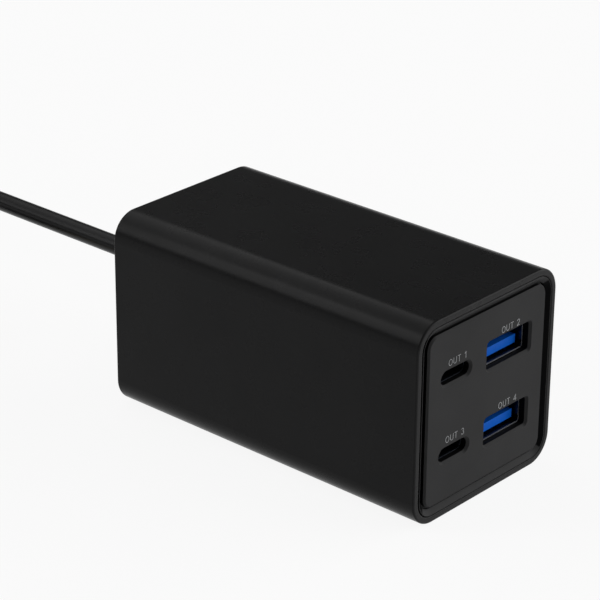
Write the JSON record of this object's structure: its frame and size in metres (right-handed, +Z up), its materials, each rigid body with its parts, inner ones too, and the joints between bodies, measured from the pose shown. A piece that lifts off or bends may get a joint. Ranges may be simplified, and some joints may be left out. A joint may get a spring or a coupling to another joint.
{
  "type": "multi port usb charger",
  "caption": "Desktop mains charger: a rounded square-section black box with large and small charging sockets in its front panel and a mains lead at the rear.",
  "frame": {"origin": "under the middle of the housing, on the surface it stands on", "axes": "+Z up, -Y towards the sockets, +X to the right as seen from the sockets' side"},
  "size_m": [0.0593, 0.2635, 0.043],
  "materials": {
    "housing": "fine satin black",
    "bezel": "semi-gloss black",
    "panel": "satin dark grey",
    "rear_plastic": "fine satin black",
    "socket_shell": "bright rolled sheet",
    "blue_tongue": "glossy vivid blue",
    "black_tongue": "matt black",
    "gold_contact": "gold flash",
    "circuit_board": "green solder mask",
    "screw": "plain",
    "ferrite": "dull dark grey",
    "winding": "enamelled copper wire",
    "moulded_black": "dull black",
    "capacitor_sleeve": "shrunk film",
    "capacitor_can": "plain can",
    "film_box": "yellow box",
    "fuse_body": "brown",
    "tinned_leg": "tinned",
    "sheet_aluminium": "plain sheet",
    "film": "dull film",
    "wire_insulation": "smooth",
    "cord_jacket": "semi-gloss black",
    "relief_rubber": "satin black",
    "tie_band": "woven black",
    "plug_plastic": "satin black",
    "plug_metal": "plated"
  },
  "bodies": {
    "root": {"housing_sleeve": "housing", "front_bezel": "bezel", "socket_panel": "panel", "rear_cover": "rear_plastic", "wide_shell_upper": "socket_shell", "wide_shell_lower": "socket_shell", "wide_tongue_upper": "blue_tongue", "wide_tongue_lower": "blue_tongue", "wide_contacts_upper": "gold_contact", "wide_contacts_lower": "gold_contact", "slim_shell_upper": "socket_shell", "slim_shell_lower": "socket_shell", "slim_tongue_upper": "black_tongue", "slim_tongue_lower": "black_tongue", "slim_contacts_upper": "gold_contact", "slim_contacts_lower": "gold_contact", "socket_board": "circuit_board", "board_screws": "screw", "main_board": "circuit_board", "board_link": "moulded_black", "link_pins": "gold_contact", "transformer_core": "ferrite", "transformer_bobbin": "moulded_black", "transformer_winding": "winding", "bulk_capacitors": "capacitor_sleeve", "output_capacitors": "capacitor_can", "film_capacitor": "film_box", "choke_core": "ferrite", "choke_windings": "winding", "fuse": "fuse_body", "bridge_rectifier": "moulded_black", "power_transistor": "moulded_black", "component_legs": "tinned_leg", "heat_spreader": "sheet_aluminium", "insulating_film": "film", "inner_leads": "wire_insulation", "strain_relief": "relief_rubber", "cord_tube": "cord_jacket", "cord_coil": "cord_jacket", "cord_tail": "cord_jacket", "cord_tie": "tie_band", "plug_body": "plug_plastic", "plug_blades": "plug_metal"}
  },
  "joints": []
}
